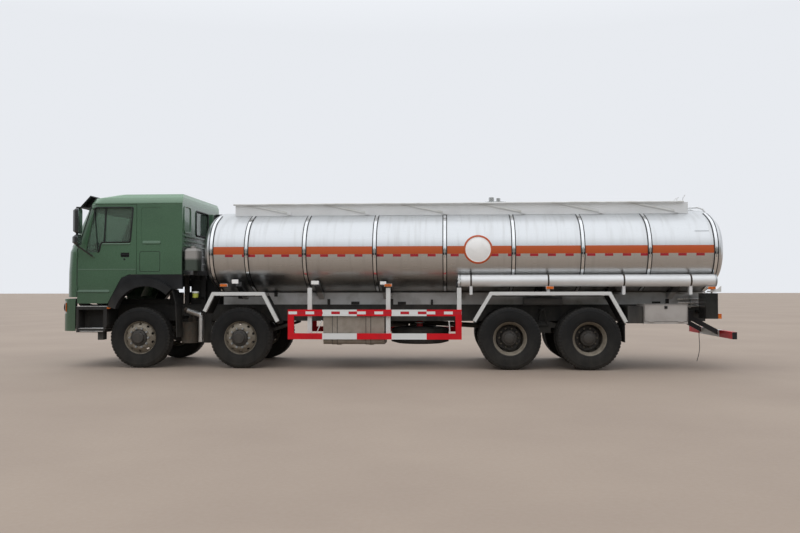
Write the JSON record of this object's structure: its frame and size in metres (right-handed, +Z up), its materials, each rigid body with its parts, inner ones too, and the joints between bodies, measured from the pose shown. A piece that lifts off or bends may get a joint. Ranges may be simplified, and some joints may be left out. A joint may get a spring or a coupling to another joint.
{
  "type": "tank truck",
  "caption": "Rigid tank truck on four axles with polished oval tank, folding handrail, rear ladder, hose tube, side guards and a green tilting cab",
  "frame": {"origin": "on the ground, below the middle of the vehicle's length and width", "axes": "+X towards the cab's front, +Y to the vehicle's left (the side with the hose tube), +Z up"},
  "size_m": [11.8, 2.9, 3.095],
  "materials": {
    "cab_paint": "green paint, slightly metallic, semi gloss, dusty below",
    "tank_metal": "polished metal with soft ripples and an orange stripe",
    "tank_fittings": "brushed, with dull patches",
    "silver_paint": "silver paint, satin, dusty",
    "chassis_black": "black chassis paint, dusty",
    "black_plastic": "grained black plastic, greyed by dust",
    "red_paint": "red paint, satin",
    "rim_paint": "beige silver paint, dusty",
    "tyre_rubber": "black rubber, dusty tread",
    "glazing": "tinted glass",
    "cab_lining": "grey plastic and cloth",
    "galvanised": "galvanised steel, dull",
    "lamp_plastic": "clear, red and orange lenses",
    "rusty_steel": "brown steel with light rust"
  },
  "bodies": {
    "chassis": {"frame": "chassis_black", "subframe": "silver_paint", "front_axles": "chassis_black", "rear_axles": "chassis_black", "drivetrain": "chassis_black", "exhaust": "rusty_steel", "bumper": "black_plastic", "steps": "black_plastic", "mudguards": "black_plastic", "service_tanks": "chassis_black", "fuel_tank": "tank_fittings", "side_guards": "red_paint", "spare_wheel": "tyre_rubber", "tool_box": "tank_fittings", "hose_tube": "galvanised", "tank": "tank_metal", "tank_bands": "tank_fittings", "walkway": "tank_fittings", "underrun_bar": "red_paint", "lamps": "lamp_plastic", "earth_strap": "black_plastic"},
    "cab": {"cab_shell": "cab_paint", "cab_glass": "glazing", "cab_trim": "black_plastic", "cab_interior": "cab_lining"},
    "front_panel": {"front_panel": "cab_paint"},
    "door_left": {"door_left": "cab_paint", "door_glass_left": "glazing"},
    "door_right": {"door_right": "cab_paint", "door_glass_right": "glazing"},
    "tool_door": {"tool_box_door": "tank_fittings"},
    "hose_lid": {"hose_tube_lid": "galvanised"},
    "manhole_lid": {"manhole_lid": "tank_fittings"},
    "rail": {"handrail": "galvanised"},
    "post_1": {"handrail_post_1": "galvanised"},
    "post_2": {"handrail_post_2": "galvanised"},
    "post_3": {"handrail_post_3": "galvanised"},
    "post_4": {"handrail_post_4": "galvanised"},
    "post_5": {"handrail_post_5": "galvanised"},
    "post_6": {"handrail_post_6": "galvanised"},
    "knuckle_1_left": {"knuckle_1_left": "chassis_black"},
    "knuckle_1_right": {"knuckle_1_right": "chassis_black"},
    "knuckle_2_left": {"knuckle_2_left": "chassis_black"},
    "knuckle_2_right": {"knuckle_2_right": "chassis_black"},
    "wheel_1_left": {"rim_1_left": "rim_paint", "tyre_1_left": "tyre_rubber"},
    "wheel_1_right": {"rim_1_right": "rim_paint", "tyre_1_right": "tyre_rubber"},
    "wheel_2_left": {"rim_2_left": "rim_paint", "tyre_2_left": "tyre_rubber"},
    "wheel_2_right": {"rim_2_right": "rim_paint", "tyre_2_right": "tyre_rubber"},
    "wheel_3_left": {"rim_3_left": "rim_paint", "tyre_3_left": "tyre_rubber"},
    "wheel_3_right": {"rim_3_right": "rim_paint", "tyre_3_right": "tyre_rubber"},
    "wheel_4_left": {"rim_4_left": "rim_paint", "tyre_4_left": "tyre_rubber"},
    "wheel_4_right": {"rim_4_right": "rim_paint", "tyre_4_right": "tyre_rubber"}
  },
  "joints": [
    {"name": "cab_tilt", "type": "hinge", "parent": "chassis", "child": "cab", "pos_m": [5.83, 0, 1.13], "axis": [0, 1, 0], "range_deg": [0, 50]},
    {"name": "front_panel_lift", "type": "hinge", "parent": "cab", "child": "front_panel", "pos_m": [5.849, 0, 2.003], "axis": [0, -1, 0], "range_deg": [0, 80]},
    {"name": "door_left_swing", "type": "hinge", "parent": "cab", "child": "door_left", "pos_m": [5.547, 1.1545, 1.7], "axis": [0, 0, -1], "range_deg": [0, 70]},
    {"name": "door_right_swing", "type": "hinge", "parent": "cab", "child": "door_right", "pos_m": [5.547, -1.1545, 1.7], "axis": [0, 0, 1], "range_deg": [0, 70]},
    {"name": "tool_door_drop", "type": "hinge", "parent": "chassis", "child": "tool_door", "pos_m": [-4.725, 1.2375, 0.834], "axis": [-1, 0, 0], "range_deg": [0, 90]},
    {"name": "hose_lid_swing", "type": "hinge", "parent": "chassis", "child": "hose_lid", "pos_m": [-1.24, 1.253, 1.53], "axis": [0, 0, 1], "range_deg": [0, 120]},
    {"name": "manhole_lid_lift", "type": "hinge", "parent": "chassis", "child": "manhole_lid", "pos_m": [-2.23, 0, 2.98], "axis": [0, -1, 0], "range_deg": [0, 100]},
    {"name": "post_1_swing", "type": "hinge", "parent": "chassis", "child": "post_1", "pos_m": [1.842, 0.615, 2.768], "axis": [0, -1, 0], "range_deg": [0, 78.3]},
    {"name": "post_2_swing", "type": "hinge", "parent": "chassis", "child": "post_2", "pos_m": [0.415, 0.615, 2.768], "axis": [0, -1, 0], "range_deg": [0, 78.3]},
    {"name": "post_3_swing", "type": "hinge", "parent": "chassis", "child": "post_3", "pos_m": [-0.988, 0.615, 2.768], "axis": [0, -1, 0], "range_deg": [0, 78.3]},
    {"name": "post_4_swing", "type": "hinge", "parent": "chassis", "child": "post_4", "pos_m": [-2.392, 0.615, 2.768], "axis": [0, -1, 0], "range_deg": [0, 78.3]},
    {"name": "post_5_swing", "type": "hinge", "parent": "chassis", "child": "post_5", "pos_m": [-3.763, 0.615, 2.768], "axis": [0, -1, 0], "range_deg": [0, 78.3]},
    {"name": "post_6_swing", "type": "hinge", "parent": "chassis", "child": "post_6", "pos_m": [-5.084, 0.615, 2.768], "axis": [0, -1, 0], "range_deg": [0, 78.3]},
    {"name": "rail_swing", "type": "hinge", "parent": "post_1", "child": "rail", "pos_m": [2.61559, 0.632, 2.9282], "axis": [0, -1, 0], "range_deg": [-78.3, 0]},
    {"name": "steer_1_left", "type": "hinge", "parent": "chassis", "child": "knuckle_1_left", "pos_m": [4.4, 0.861, 0.536], "axis": [0, 0, 1], "range_deg": [-35, 35]},
    {"name": "steer_1_right", "type": "hinge", "parent": "chassis", "child": "knuckle_1_right", "pos_m": [4.4, -0.861, 0.536], "axis": [0, 0, 1], "range_deg": [-35, 35]},
    {"name": "steer_2_left", "type": "hinge", "parent": "chassis", "child": "knuckle_2_left", "pos_m": [2.6, 0.861, 0.536], "axis": [0, 0, 1], "range_deg": [-24.5, 24.5]},
    {"name": "steer_2_right", "type": "hinge", "parent": "chassis", "child": "knuckle_2_right", "pos_m": [2.6, -0.861, 0.536], "axis": [0, 0, 1], "range_deg": [-24.5, 24.5]},
    {"name": "roll_1_left", "type": "hinge", "parent": "knuckle_1_left", "child": "wheel_1_left", "pos_m": [4.4, 1.011, 0.536], "axis": [0, 1, 0], "continuous": true},
    {"name": "roll_1_right", "type": "hinge", "parent": "knuckle_1_right", "child": "wheel_1_right", "pos_m": [4.4, -1.011, 0.536], "axis": [0, 1, 0], "continuous": true},
    {"name": "roll_2_left", "type": "hinge", "parent": "knuckle_2_left", "child": "wheel_2_left", "pos_m": [2.6, 1.011, 0.536], "axis": [0, 1, 0], "continuous": true},
    {"name": "roll_2_right", "type": "hinge", "parent": "knuckle_2_right", "child": "wheel_2_right", "pos_m": [2.6, -1.011, 0.536], "axis": [0, 1, 0], "continuous": true},
    {"name": "roll_3_left", "type": "hinge", "parent": "chassis", "child": "wheel_3_left", "pos_m": [-2.1, 0.92, 0.536], "axis": [0, 1, 0], "continuous": true},
    {"name": "roll_3_right", "type": "hinge", "parent": "chassis", "child": "wheel_3_right", "pos_m": [-2.1, -0.92, 0.536], "axis": [0, 1, 0], "continuous": true},
    {"name": "roll_4_left", "type": "hinge", "parent": "chassis", "child": "wheel_4_left", "pos_m": [-3.45, 0.92, 0.536], "axis": [0, 1, 0], "continuous": true},
    {"name": "roll_4_right", "type": "hinge", "parent": "chassis", "child": "wheel_4_right", "pos_m": [-3.45, -0.92, 0.536], "axis": [0, 1, 0], "continuous": true}
  ],
  "couplings": [
    {"joint": "rail_swing", "follows": "post_1_swing", "ratio": -1},
    {"joint": "post_2_swing", "follows": "post_1_swing", "ratio": 1},
    {"joint": "post_3_swing", "follows": "post_1_swing", "ratio": 1},
    {"joint": "post_4_swing", "follows": "post_1_swing", "ratio": 1},
    {"joint": "post_5_swing", "follows": "post_1_swing", "ratio": 1},
    {"joint": "post_6_swing", "follows": "post_1_swing", "ratio": 1},
    {"joint": "steer_1_right", "follows": "steer_1_left", "ratio": 1},
    {"joint": "steer_2_left", "follows": "steer_1_left", "ratio": 0.7},
    {"joint": "steer_2_right", "follows": "steer_1_left", "ratio": 0.7}
  ]
}
